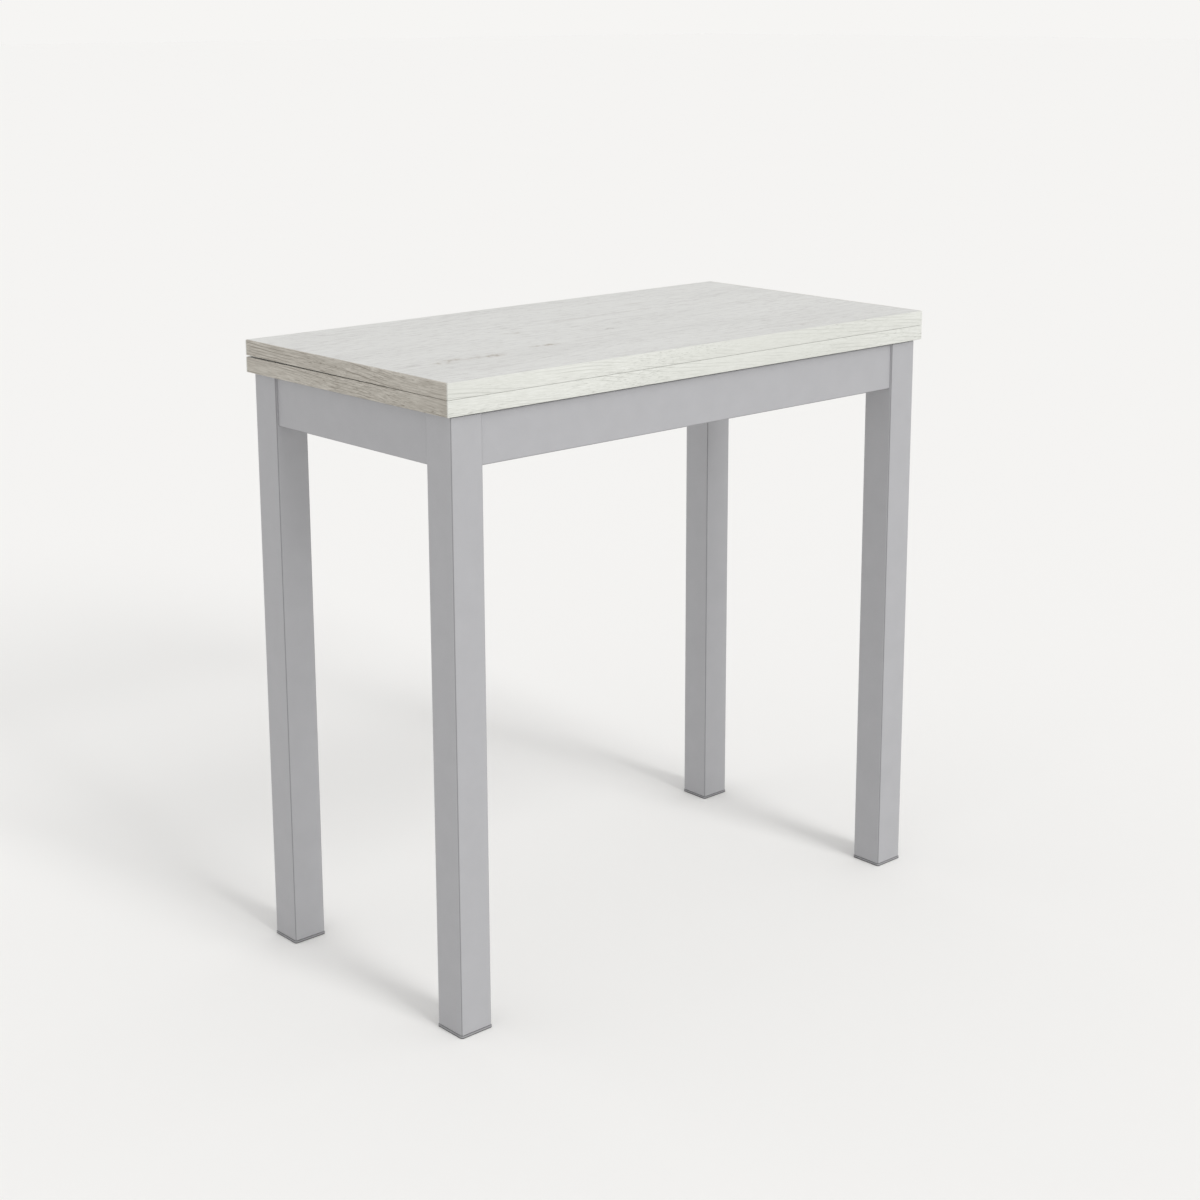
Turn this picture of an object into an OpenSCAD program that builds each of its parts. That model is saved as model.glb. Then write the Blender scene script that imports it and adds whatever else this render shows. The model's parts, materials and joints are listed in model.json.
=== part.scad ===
// Book-opening kitchen table. The top swivels a quarter turn on the frame, and then the
// upper board opens about the back edge, to twice the closed size.
// The origin is on the floor under the centre of the closed top. X runs along the table,
// Y towards the hinged back edge and Z up. All sizes are in millimetres.

/* [Top] */
// Height of the closed table at its hinged back edge
table_h = 780; // [700:5:900]
// Length of each board
board_l = 800; // [700:10:1000]
// Depth of each board
board_d = 400; // [380:10:480]
// Thickness of each board
board_t = 19; // [18:0.5:25]
// Thickness of the edging strips
edging_t = 2; // [1:0.5:3]
// Small flat along the sharp outer corners of the edging
arris = 0.6; // [0.4:0.1:1]
// Gap between the two boards at the hinged edge
leaf_gap = 2; // [1.8:0.1:3]
// Angle by which the upper board leans down to the lower one at rest, in degrees
leaf_sag = 0.25; // [0:0.05:0.25]
// Gap left between the two edges when the top is open
open_gap = 0.3; // [0.2:0.1:0.6]

/* [Frame] */
// Width of the square legs
leg_w = 45; // [40:1:55]
// Wall of the leg tube
leg_wall = 1.5; // [1.2:0.1:2.5]
// Outer corner radius of the leg tube
leg_corner_r = 2.5; // [2.5:0.5:4]
// How far the boards stand out past the legs at the two ends
end_overhang = 7.5; // [4:0.5:20]
// How far the boards stand out past the legs at the front and back
side_overhang = 6; // [4:0.5:15]
// Height of the rails
rail_h = 60; // [50:1:80]
// Thickness of the rails
rail_t = 30; // [20:1:34]
// Wall of the rail tube
rail_wall = 1.5; // [1.2:0.1:2.5]
// Outer corner radius of the rail tube
rail_corner_r = 2; // [2:0.5:3]
// How far the rails lie behind the outer faces of the legs
rail_recess = 3; // [2:0.5:6]
// Gap between the frame and the lower board
top_gap = 2; // [1.5:0.1:3]

/* [Feet and glides] */
// Height of the foot cap's lip
foot_h = 4; // [3:0.5:10]
// How far the lip stands out past the leg
foot_lip = 0.75; // [0.5:0.25:2]
// Chamfer round the bottom of the foot cap
foot_chamfer = 0.8; // [0.5:0.1:1.2]
// How far the plugs reach into the legs
plug_l = 22; // [15:1:40]
// Wall of the plugs
plug_wall = 2; // [1.5:0.1:3]
// Gap between a plug's ribs and the inside of the leg
plug_fit = 0.1; // [0.05:0.05:0.3]
// Radius of the button on top of each glide
glide_r = 12; // [8:0.5:15]
// Gap between a glide's button and the lower board
glide_play = 0.3; // [0.3:0.1:0.8]

/* [Swivel] */
// Radius of the pivot plate
plate_r = 56; // [54:0.5:56]
// Thickness of the pivot plate
plate_t = 3; // [3:0.5:4]
// Radius of the pivot bolt
bolt_r = 5; // [4:0.5:6]
// Radius of the bolt's cup head
bolt_head_r = 10; // [9:0.5:12]
// Height of the bolt's cup head
bolt_head_h = 5.5; // [4:0.5:8]
// Gap between the bolt and its bushes
bolt_fit = 0.05; // [0.03:0.01:0.1]
// Gap round the bushes in the cross-member
bush_fit = 0.02; // [0.01:0.01:0.05]
// Gap between two flat faces that slide on each other
slide_play = 0.3; // [0.3:0.1:0.6]
// Width of the cross-member that carries the swivel
member_w = 60; // [60:1:80]
// Height of the cross-member
member_h = 20; // [16:1:30]
// Wall of the cross-member
member_wall = 2; // [1.5:0.1:3]
// How far the top of the cross-member lies below the top of the frame
member_drop = 3; // [3:0.5:6]
// Wall of the flanged bushes
bush_wall = 3; // [2:0.5:4]
// Radius of the bush flanges
bush_flange_r = 17; // [15:0.5:20]
// Radius of the stop peg
peg_r = 4; // [3:0.5:4.5]
// Distance of the stop peg from the pivot
peg_reach = 39; // [36:0.5:39]
// Gap round the stop peg in its slot
peg_play = 0.3; // [0.2:0.1:0.6]
// Distance of the pivot plate's screws from the pivot
plate_screw_reach = 49.5; // [49:0.5:50]
// Number of screws in the pivot plate
plate_screw_count = 6; // [4:1:8]
// Height of the lock nut
nut_h = 10; // [8:0.5:12]
// Width of the lock nut across its flats
nut_flats = 17; // [15:1:19]
// Thickness of the flat washer
washer_t = 2; // [1.5:0.5:3]
// Radius of the flat washer
washer_r = 13; // [12:0.5:15]

/* [Hinges] */
// Distance of each hinge from the nearer end of the table
hinge_inset = 130; // [80:5:200]
// Width of a hinge plate
hinge_w = 28; // [26:1:34]
// Length of a hinge plate in front of its pin
hinge_l = 30; // [28:1:40]
// Thickness of a hinge plate
hinge_t = 2.5; // [2:0.1:3]
// Corner radius of a hinge plate's far end
hinge_corner_r = 9; // [6:0.5:10]
// Depth of the pins below the face of the board, and radius of the plate's barrel
pin_depth = 3; // [2.8:0.1:3.5]
// Radius of the hinge pins
pin_r = 1.5; // [1.2:0.1:1.6]
// Gap between a pin and the link that turns on it
pin_fit = 0.05; // [0.03:0.01:0.1]
// Width of the link
link_w = 11; // [9:0.5:12]
// Radius of the link's two eyes
link_r = 2.8; // [2.6:0.05:2.8]
// Gap between the link and the plate round it
link_play = 0.25; // [0.2:0.05:0.4]
// Gap round a hinge in its pocket
pocket_play = 0.2; // [0.1:0.05:0.3]

/* [Screws] */
// Radius of the screw shanks
screw_r = 1.75; // [1.5:0.05:2]
// Radius of the screw heads
screw_head_r = 3.4; // [3:0.1:3.6]
// Length of the screws
screw_l = 15; // [12:0.5:16]
// Gap round a screw in its hole
screw_fit = 0.15; // [0.05:0.05:0.3]
// Width of the cross recess in the screw heads
drive_w = 0.8; // [0.5:0.1:1]
// Depth of the cross recess in the screw heads
drive_depth = 1; // [0.6:0.1:1.2]

/* [Hidden] */
eps = 0.01;
// How far a cutting shape reaches past what it cuts
over = 1;
round_fn = 48;

// Heights of the levels, from the top down
upper_face_z = table_h - board_t;
lower_face_z = upper_face_z - leaf_gap;
board_bottom_z = lower_face_z - board_t;
frame_top_z = board_bottom_z - top_gap;
member_top_z = frame_top_z - member_drop;
member_bottom_z = member_top_z - member_h;

// Outline of the frame
frame_l = board_l - 2 * end_overhang;
frame_d = board_d - 2 * side_overhang;
leg_x = (frame_l - leg_w) / 2;
leg_y = (frame_d - leg_w) / 2;
rail_x = frame_l / 2 - rail_recess - rail_t / 2;
rail_y = frame_d / 2 - rail_recess - rail_t / 2;
leg_bore = leg_w - 2 * leg_wall;
leg_bore_r = leg_corner_r - leg_wall;
rib_t = 1;
rib_depth = 1.5;
rib_count = 3;
glide_cover_t = 3;

// The swivel: from here a quarter turn brings the opened top over the middle of the frame
pivot_x = board_d / 4;
pivot_y = board_d / 4;
plate_bottom_z = board_bottom_z - plate_t;
bush_flange_t = plate_bottom_z - slide_play - member_top_z;
bush_bore_r = bolt_r + bolt_fit;
bush_r = bush_bore_r + bush_wall;
bush_l = member_h / 2 - 0.1;
member_corner_r = member_wall + 1;
member_l = frame_d - 2 * (rail_recess + rail_t);
washer_top_z = member_bottom_z - bush_flange_t - slide_play;
washer_play = 0.25;
spring_t = 2.2;
spring_r = 9.5;
spring_split = 2.5;
spring_turn = 20;
nut_top_z = washer_top_z - washer_t - spring_t;
collar_h = 2;
collar_r = nut_flats / 2 - 0.5;
bolt_tip = 3;
tip_chamfer = 1;
thread_fit = 0.02;
neck_play = 0.15;
head_play = 1.5;

// The hinges: the pins lie pin_depth below the faces and pin_inset in from the edges, so
// that the link spans the pins both closed, across leaf_gap, and open, across open_gap
pin_inset = pin_depth + (leaf_gap - open_gap) / 2;
link_l = 2 * pin_depth + leaf_gap;
lower_pin_z = lower_face_z - pin_depth;
upper_pin_z = upper_face_z + pin_depth;
pin_y = board_d / 2 - pin_inset;
hinge_x = board_l / 2 - hinge_inset;
link_slot_w = link_w + 2 * link_play;
link_slot_y = link_r + link_play;
barrel_pocket_h = 2 * pin_depth + pocket_play;
screw_side_land = 2.2;
screw_barrel_land = 1.6;
screw_end_land = 3;
hinge_screw_x = hinge_w / 2 - screw_head_r - screw_side_land;
near_screw_y = pin_depth + screw_head_r + screw_barrel_land;
far_screw_y = hinge_l - screw_head_r - screw_end_land;

// The screws
head_flat = 0.1;
point_r = 0.3;
drive_l = 1.1 * screw_head_r;

// Shared shapes

// A rectangle with true round corners, centred on the origin
module rounded_rect(w, d, r) {
    square([w - 2 * r, d], center = true);
    square([w, d - 2 * r], center = true);
    for (x = [-1, 1], y = [-1, 1])
        translate([x * (w / 2 - r), y * (d / 2 - r)])
            circle(r = r, $fn = round_fn);
}

// A rectangle with its four corners cut off at 45 degrees
module chamfered_rect(w, d, c) {
    polygon([
        [-w / 2 + c, -d / 2], [w / 2 - c, -d / 2], [w / 2, -d / 2 + c], [w / 2, d / 2 - c],
        [w / 2 - c, d / 2], [-w / 2 + c, d / 2], [-w / 2, d / 2 - c], [-w / 2, -d / 2 + c]
    ]);
}

// A round-cornered tube along Z
module tube(w, d, r, wall, length) {
    difference() {
        linear_extrude(length) rounded_rect(w, d, r);
        translate([0, 0, -eps])
            linear_extrude(length + 2 * eps)
                rounded_rect(w - 2 * wall, d - 2 * wall, r - wall);
    }
}

// A countersunk cross-recess screw that points down from the origin
module screw(length) {
    tip = screw_r;
    head_h = screw_head_r - screw_r;
    difference() {
        union() {
            translate([0, 0, -head_flat]) cylinder(r = screw_head_r, h = head_flat, $fn = round_fn);
            translate([0, 0, -head_flat - head_h])
                cylinder(r1 = screw_r, r2 = screw_head_r, h = head_h, $fn = round_fn);
            translate([0, 0, -length + tip])
                cylinder(r = screw_r, h = length - tip - head_flat, $fn = round_fn);
            translate([0, 0, -length]) cylinder(r1 = point_r, r2 = screw_r, h = tip, $fn = round_fn);
        }
        for (turn = [0, 90])
            rotate([0, 0, turn])
                translate([0, 0, -drive_depth / 2])
                    cube([drive_l, drive_w, drive_depth + eps], center = true);
    }
}

// The hole for such a screw, through a plate and on into the board
module screw_hole(length) {
    r = screw_r + screw_fit;
    head_r = screw_head_r + screw_fit;
    translate([0, 0, -length - screw_fit]) cylinder(r = r, h = length + over, $fn = round_fn);
    translate([0, 0, -head_flat - (head_r - r)])
        cylinder(r1 = r, r2 = head_r, h = head_r - r, $fn = round_fn);
    translate([0, 0, -head_flat]) cylinder(r = head_r, h = head_flat + over, $fn = round_fn);
}

// Runs over the four corners of the frame
module at_legs() {
    for (x = [-1, 1], y = [-1, 1])
        translate([x * leg_x, y * leg_y, 0]) children();
}

// The frame

module leg(x, y) {
    color("silver")
        translate([x * leg_x, y * leg_y, foot_h])
            tube(leg_w, leg_w, leg_corner_r, leg_wall, frame_top_z - foot_h);
}

// A rail along X between two legs, y being -1 at the front and 1 at the back
module long_rail(y) {
    length = frame_l - 2 * leg_w;
    color("silver")
        translate([-length / 2, y * rail_y, frame_top_z - rail_h / 2])
            rotate([0, 90, 0])
                tube(rail_h, rail_t, rail_corner_r, rail_wall, length);
}

// A rail along Y between two legs, x being -1 at the left and 1 at the right
module end_rail(x) {
    length = frame_d - 2 * leg_w;
    color("silver")
        translate([x * rail_x, length / 2, frame_top_z - rail_h / 2])
            rotate([90, 0, 0])
                tube(rail_t, rail_h, rail_corner_r, rail_wall, length);
}

// The hollow ribbed plug that holds a foot or a glide in the leg tube, upwards from the origin
module plug() {
    rib_w = leg_bore - 2 * plug_fit;
    core_w = rib_w - 2 * rib_depth;
    hollow_w = core_w - 2 * plug_wall;
    rib_step = plug_l / (rib_count + 0.5);
    difference() {
        union() {
            linear_extrude(plug_l) rounded_rect(core_w, core_w, leg_bore_r);
            for (i = [1 : rib_count])
                translate([0, 0, i * rib_step])
                    linear_extrude(rib_t) rounded_rect(rib_w, rib_w, leg_bore_r);
        }
        translate([0, 0, -eps])
            linear_extrude(plug_l + 2 * eps)
                rounded_rect(hollow_w, hollow_w, leg_bore_r / 2);
    }
    linear_extrude(plug_l) square([hollow_w + eps, plug_wall], center = true);
    linear_extrude(plug_l) square([plug_wall, hollow_w + eps], center = true);
}

// A foot cap: a lip that the leg stands on, chamfered at the floor, and its plug
module foot(x, y) {
    lip_w = leg_w + 2 * foot_lip;
    lip_r = leg_corner_r + foot_lip;
    color("gray")
        translate([x * leg_x, y * leg_y, 0]) {
            intersection() {
                linear_extrude(foot_h) rounded_rect(lip_w, lip_w, lip_r);
                foot_side_cut(lip_w);
                rotate([0, 0, 90]) foot_side_cut(lip_w);
            }
            translate([0, 0, foot_h]) plug();
        }
}

// A bar that leaves the chamfer along two bottom edges of a foot cap
module foot_side_cut(lip_w) {
    c = foot_chamfer;
    translate([lip_w, 0, 0])
        rotate([90, 0, -90])
            linear_extrude(2 * lip_w)
                polygon([
                    [-lip_w / 2 + c, 0], [lip_w / 2 - c, 0], [lip_w / 2, c],
                    [lip_w / 2, foot_h + over], [-lip_w / 2, foot_h + over], [-lip_w / 2, c]
                ]);
}

// The four glides in the leg tops. Their buttons carry the lower board while it turns
module top_glides() {
    cover_w = leg_bore - 2 * plug_fit;
    cover_z = frame_top_z - glide_cover_t;
    button_h = top_gap - glide_play;
    color("dimgray")
        at_legs() {
            translate([0, 0, cover_z - plug_l]) plug();
            translate([0, 0, cover_z])
                linear_extrude(glide_cover_t) rounded_rect(cover_w, cover_w, leg_bore_r);
            translate([0, 0, frame_top_z]) cylinder(r = glide_r, h = button_h, $fn = round_fn);
        }
}

// The swivel

module at_pivot(z) {
    translate([pivot_x, pivot_y, z]) children();
}

module cross_member() {
    color("silver")
        difference() {
            translate([pivot_x, member_l / 2, member_top_z - member_h / 2])
                rotate([90, 0, 0])
                    tube(member_w, member_h, member_corner_r, member_wall, member_l);
            at_pivot(member_bottom_z - over)
                cylinder(r = bush_r + bush_fit, h = member_h + 2 * over, $fn = round_fn);
            at_pivot(member_top_z - member_h / 2)
                translate([0, -peg_reach, 0]) cylinder(r = peg_r, h = member_h, $fn = round_fn);
        }
}

// A flanged bush, its flange up and its underside of the flange at the origin
module bush() {
    difference() {
        union() {
            cylinder(r = bush_flange_r, h = bush_flange_t, $fn = round_fn);
            translate([0, 0, -bush_l]) cylinder(r = bush_r, h = bush_l + eps, $fn = round_fn);
        }
        translate([0, 0, -bush_l - over])
            cylinder(r = bush_bore_r, h = bush_l + bush_flange_t + 2 * over, $fn = round_fn);
    }
}

module upper_bush() {
    color("ivory") at_pivot(member_top_z) bush();
}

module lower_bush() {
    color("ivory") at_pivot(member_bottom_z) mirror([0, 0, 1]) bush();
}

// The peg stands in the cross-member in front of the pivot and reaches into the plate's slot
module stop_peg() {
    peg_top_z = board_bottom_z - slide_play;
    peg_bottom_z = member_top_z - member_wall;
    color("gray")
        at_pivot(peg_bottom_z)
            translate([0, -peg_reach, 0])
                cylinder(r = peg_r, h = peg_top_z - peg_bottom_z, $fn = round_fn);
}

// The quarter-circle slot that the stop peg runs in as the plate turns
module peg_slot() {
    slot_r = peg_r + peg_play;
    reach = peg_reach + slot_r;
    intersection() {
        difference() {
            circle(r = reach, $fn = 2 * round_fn);
            circle(r = peg_reach - slot_r, $fn = 2 * round_fn);
        }
        translate([-reach - over, -reach - over]) square(reach + over);
    }
    translate([0, -peg_reach]) circle(r = slot_r, $fn = round_fn);
    translate([-peg_reach, 0]) circle(r = slot_r, $fn = round_fn);
}

// Runs over the places of the pivot plate's screws, which point up
module at_plate_screws() {
    at_pivot(plate_bottom_z)
        for (i = [0 : plate_screw_count - 1])
            rotate([0, 0, (i + 0.5) * 360 / plate_screw_count])
                translate([plate_screw_reach, 0, 0])
                    rotate([180, 0, 0]) children();
}

module pivot_plate() {
    neck_w = 2 * bolt_r + 2 * neck_play;
    color("gray")
        difference() {
            at_pivot(plate_bottom_z)
                linear_extrude(plate_t)
                    difference() {
                        circle(r = plate_r, $fn = 2 * round_fn);
                        peg_slot();
                        square(neck_w, center = true);
                    }
            at_plate_screws() screw_hole(screw_l);
        }
}

module pivot_plate_screws() {
    color("silver") at_plate_screws() screw(screw_l);
}

// A cup-head bolt: domed head above the pivot plate, square neck in it, shank down to the nut
module pivot_bolt() {
    tip_z = nut_top_z - nut_h - bolt_tip;
    neck_w = 2 * bolt_r;
    dome_r = (bolt_head_r * bolt_head_r + bolt_head_h * bolt_head_h) / (2 * bolt_head_h);
    color("gray") {
        at_pivot(board_bottom_z)
            intersection() {
                translate([0, 0, bolt_head_h - dome_r]) sphere(r = dome_r, $fn = 2 * round_fn);
                cylinder(r = bolt_head_r, h = bolt_head_h, $fn = round_fn);
            }
        at_pivot(plate_bottom_z)
            translate([-neck_w / 2, -neck_w / 2, 0]) cube([neck_w, neck_w, plate_t + eps]);
        at_pivot(tip_z + tip_chamfer)
            cylinder(r = bolt_r, h = plate_bottom_z - tip_z - tip_chamfer + eps, $fn = round_fn);
        at_pivot(tip_z)
            cylinder(r1 = bolt_r - tip_chamfer, r2 = bolt_r, h = tip_chamfer, $fn = round_fn);
    }
}

module ring(outer_r, inner_r, h) {
    difference() {
        cylinder(r = outer_r, h = h, $fn = round_fn);
        translate([0, 0, -over]) cylinder(r = inner_r, h = h + 2 * over, $fn = round_fn);
    }
}

module flat_washer() {
    color("gray") at_pivot(washer_top_z - washer_t) ring(washer_r, bolt_r + washer_play, washer_t);
}

module spring_washer() {
    color("gray")
        at_pivot(nut_top_z)
            difference() {
                ring(spring_r, bolt_r + washer_play, spring_t);
                rotate([0, 0, spring_turn])
                    translate([0, -spring_split / 2, -over])
                        cube([spring_r + over, spring_split, spring_t + 2 * over]);
            }
}

// A hexagon nut with a round collar on its lower end
module lock_nut() {
    corner_r = nut_flats / sqrt(3);
    color("gray")
        at_pivot(nut_top_z - nut_h)
            difference() {
                union() {
                    translate([0, 0, collar_h]) cylinder(r = corner_r, h = nut_h - collar_h, $fn = 6);
                    cylinder(r = collar_r, h = collar_h + eps, $fn = round_fn);
                }
                translate([0, 0, -over])
                    cylinder(r = bolt_r + thread_fit, h = nut_h + 2 * over, $fn = round_fn);
            }
}

// The boards. Each is drawn with its inner face at z = 0, its body below it and its hinged
// edge at y = 0, the way the lower board lies

// The whole outline of a board with its edging
module board_blank() {
    translate([0, -board_d / 2, -board_t])
        intersection() {
            linear_extrude(board_t) chamfered_rect(board_l, board_d, arris);
            translate([0, board_d / 2, board_t / 2])
                rotate([90, 0, 0]) linear_extrude(board_d) chamfered_rect(board_l, board_t, arris);
            translate([-board_l / 2, 0, board_t / 2])
                rotate([90, 0, 90]) linear_extrude(board_l) chamfered_rect(board_d, board_t, arris);
        }
}

module at_hinges() {
    for (x = [-1, 1])
        translate([x * hinge_x, 0, 0]) children();
}

module board_core() {
    translate([-board_l / 2 + edging_t, -board_d + edging_t, -board_t])
        difference() {
            cube([board_l - 2 * edging_t, board_d - 2 * edging_t, board_t]);
            translate([board_l / 2 - edging_t, board_d - edging_t, board_t]) at_hinges() hinge_pocket();
        }
}

// The strip along the front edge
module front_edging() {
    intersection() {
        board_blank();
        translate([-board_l, -board_d, -board_t - over])
            cube([2 * board_l, edging_t, board_t + 2 * over]);
    }
}

// The strip along the hinged edge, notched for the hinges
module back_edging() {
    difference() {
        intersection() {
            board_blank();
            translate([-board_l, -edging_t, -board_t - over])
                cube([2 * board_l, edging_t, board_t + 2 * over]);
        }
        at_hinges() hinge_pocket();
    }
}

// The strip along one end, between the two long strips
module end_edging(x) {
    intersection() {
        board_blank();
        translate([x * (board_l - edging_t) / 2, -board_d / 2, -board_t / 2])
            cube([edging_t, board_d - 2 * edging_t, board_t + 2 * over], center = true);
    }
}

// The outline of a hinge plate's flat part, from its pin forwards
module hinge_outline(grow) {
    r = hinge_corner_r + grow;
    half_w = hinge_w / 2 + grow;
    far = -pin_inset - hinge_l - grow;
    translate([-half_w, far + r]) square([2 * half_w, -pin_inset - far - r]);
    translate([-half_w + r, far]) square([2 * (half_w - r), r + eps]);
    for (x = [-1, 1])
        translate([x * (half_w - r), far + r]) circle(r = r, $fn = round_fn);
}

// Runs over the places of one hinge plate's screws
module at_hinge_screws() {
    for (x = [-1, 1])
        translate([x * hinge_screw_x, -pin_inset - near_screw_y, 0]) children();
    translate([0, -pin_inset - far_screw_y, 0]) children();
}

// What is cut out of a board for one hinge: a shallow bed for the plate, a deeper open notch
// for its barrel and the link, and the screw holes
module hinge_pocket() {
    half_w = hinge_w / 2 + pocket_play;
    notch_y = -pin_inset - pin_depth - pocket_play;
    translate([0, 0, -hinge_t]) linear_extrude(hinge_t + over) hinge_outline(pocket_play);
    translate([-half_w, notch_y, -barrel_pocket_h])
        cube([2 * half_w, over - notch_y, barrel_pocket_h + over]);
    at_hinge_screws() screw_hole(screw_l);
}

// A hinge plate: a flat bed with a barrel at the pin, split by the slot for the link
module hinge_plate(x) {
    color("silver")
        translate([x * hinge_x, 0, 0])
            difference() {
                union() {
                    translate([0, 0, -hinge_t]) linear_extrude(hinge_t) hinge_outline(0);
                    translate([-hinge_w / 2, -pin_inset, -pin_depth])
                        rotate([0, 90, 0]) cylinder(r = pin_depth, h = hinge_w, $fn = round_fn);
                }
                translate([-link_slot_w / 2, -pin_inset - link_slot_y, -2 * pin_depth - over])
                    cube([link_slot_w, 2 * link_slot_y + over, 2 * (pin_depth + over)]);
                translate([-hinge_w / 2 - over, -pin_inset, -pin_depth])
                    rotate([0, 90, 0])
                        cylinder(r = pin_r + thread_fit, h = hinge_w + 2 * over, $fn = round_fn);
                at_hinge_screws() screw_hole(screw_l);
            }
}

module hinge_pin(x) {
    color("gray")
        translate([x * hinge_x - hinge_w / 2, -pin_inset, -pin_depth])
            rotate([0, 90, 0]) cylinder(r = pin_r, h = hinge_w, $fn = round_fn);
}

module hinge_screws() {
    color("silver") at_hinges() at_hinge_screws() screw(screw_l);
}

// The link of one hinge at rest, upright between its two pins
module hinge_link(x) {
    color("gray")
        translate([x * hinge_x - link_w / 2, pin_y, lower_pin_z])
            rotate([90, 0, 90])
                linear_extrude(link_w)
                    difference() {
                        union() {
                            circle(r = link_r, $fn = round_fn);
                            translate([0, link_l]) circle(r = link_r, $fn = round_fn);
                            translate([-link_r, 0]) square([2 * link_r, link_l]);
                        }
                        circle(r = pin_r + pin_fit, $fn = round_fn);
                        translate([0, link_l]) circle(r = pin_r + pin_fit, $fn = round_fn);
                    }
}

// Puts a piece of a board where the lower board lies
module on_lower() {
    translate([0, board_d / 2, lower_face_z]) children();
}

// Puts a piece of a board where the upper board lies, turned over and leaning about its pins
module on_upper() {
    translate([0, pin_y, upper_pin_z])
        rotate([leaf_sag, 0, 0])
            translate([0, -pin_y, -upper_pin_z])
                translate([0, board_d / 2, upper_face_z])
                    mirror([0, 0, 1]) children();
}

module lower_leaf() {
    color("gainsboro")
        difference() {
            on_lower() board_core();
            at_pivot(board_bottom_z - over)
                cylinder(r = bolt_head_r + head_play, h = bolt_head_h + head_play + over, $fn = round_fn);
            at_plate_screws() screw_hole(screw_l);
        }
}

module upper_leaf() {
    color("gainsboro") on_upper() board_core();
}

leg(-1, -1);  // leg_front_left
leg(1, -1);  // leg_front_right
leg(-1, 1);  // leg_back_left
leg(1, 1);  // leg_back_right
long_rail(-1);  // front_rail
long_rail(1);  // back_rail
end_rail(-1);  // left_rail
end_rail(1);  // right_rail
foot(-1, -1);  // foot_front_left
foot(1, -1);  // foot_front_right
foot(-1, 1);  // foot_back_left
foot(1, 1);  // foot_back_right
top_glides();
cross_member();
upper_bush();
lower_bush();
stop_peg();
lower_leaf();
color("whitesmoke") on_lower() front_edging();  // lower_front_edging
color("whitesmoke") on_lower() back_edging();  // lower_back_edging
color("tan") on_lower() end_edging(-1);  // lower_left_edging
color("tan") on_lower() end_edging(1);  // lower_right_edging
pivot_plate();
pivot_plate_screws();
pivot_bolt();
flat_washer();
spring_washer();
lock_nut();
on_lower() hinge_plate(-1);  // left_hinge_lower_plate
on_lower() hinge_plate(1);  // right_hinge_lower_plate
on_lower() hinge_pin(-1);  // left_hinge_lower_pin
on_lower() hinge_pin(1);  // right_hinge_lower_pin
on_lower() hinge_screws();  // lower_hinge_screws
hinge_link(-1);  // left_hinge_link
hinge_link(1);  // right_hinge_link
upper_leaf();
color("whitesmoke") on_upper() front_edging();  // upper_front_edging
color("whitesmoke") on_upper() back_edging();  // upper_back_edging
color("tan") on_upper() end_edging(-1);  // upper_left_edging
color("tan") on_upper() end_edging(1);  // upper_right_edging
on_upper() hinge_plate(-1);  // left_hinge_upper_plate
on_upper() hinge_plate(1);  // right_hinge_upper_plate
on_upper() hinge_pin(-1);  // left_hinge_upper_pin
on_upper() hinge_pin(1);  // right_hinge_upper_pin
on_upper() hinge_screws();  // upper_hinge_screws
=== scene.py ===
"""Dresses the extending table's frame of solids with its finishes and fine pieces, and sets its stage."""
import json
import math

import bmesh
import bpy
from bpy.props import FloatProperty, FloatVectorProperty, PointerProperty
from mathutils import Matrix, Vector


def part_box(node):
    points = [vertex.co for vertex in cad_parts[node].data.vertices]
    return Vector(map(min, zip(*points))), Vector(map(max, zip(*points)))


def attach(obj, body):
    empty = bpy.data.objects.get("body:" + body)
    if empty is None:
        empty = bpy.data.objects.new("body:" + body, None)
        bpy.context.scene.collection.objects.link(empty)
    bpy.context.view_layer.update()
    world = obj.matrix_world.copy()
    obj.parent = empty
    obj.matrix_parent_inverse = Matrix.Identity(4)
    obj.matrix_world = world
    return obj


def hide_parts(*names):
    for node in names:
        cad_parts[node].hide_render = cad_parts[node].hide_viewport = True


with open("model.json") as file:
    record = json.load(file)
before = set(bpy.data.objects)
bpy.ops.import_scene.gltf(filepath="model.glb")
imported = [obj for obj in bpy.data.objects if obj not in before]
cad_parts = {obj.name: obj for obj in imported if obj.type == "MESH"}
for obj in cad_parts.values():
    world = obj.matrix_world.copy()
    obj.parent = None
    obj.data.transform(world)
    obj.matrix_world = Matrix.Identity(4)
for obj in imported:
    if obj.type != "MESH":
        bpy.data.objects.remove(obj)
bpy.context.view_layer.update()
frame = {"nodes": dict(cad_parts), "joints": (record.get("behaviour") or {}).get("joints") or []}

bl_info = {
    "name": "Extending table",
    "version": (1, 0, 0),
    "blender": (4, 5, 0),
    "location": "3D View > Sidebar > Table",
    "description": "Finishes, edging, foot caps, seams and swivel hardware of a book-opening table",
    "category": "Object",
}

MM = 0.001
TINY = 1e-7
JOINTS = {joint["name"]: joint for joint in frame["joints"]}
LEGS = ("front_left", "front_right", "back_left", "back_right")
UP = Vector((0, 0, 1))

# Sizes of the part's source that the frame's boxes don't give

LEG_WALL = 1.5 * MM
LEG_CORNER = 2.5 * MM
PLUG_FIT = 0.1 * MM
RIB_THICKNESS = 1 * MM
RIB_DEPTH = 1.5 * MM
RIB_COUNT = 3
BOLT_RADIUS = 5 * MM
THREAD_FIT = 0.02 * MM
WASHER_BORE = BOLT_RADIUS + 0.25 * MM
SPRING_RADIUS = 9.5 * MM
SPRING_TURN = math.radians(20)
NUT_FLATS = 17 * MM
COLLAR_HEIGHT = 2 * MM
COLLAR_RADIUS = NUT_FLATS / 2 - 0.5 * MM
POCKET_PLAY = 0.2 * MM


# Node trees


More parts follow.
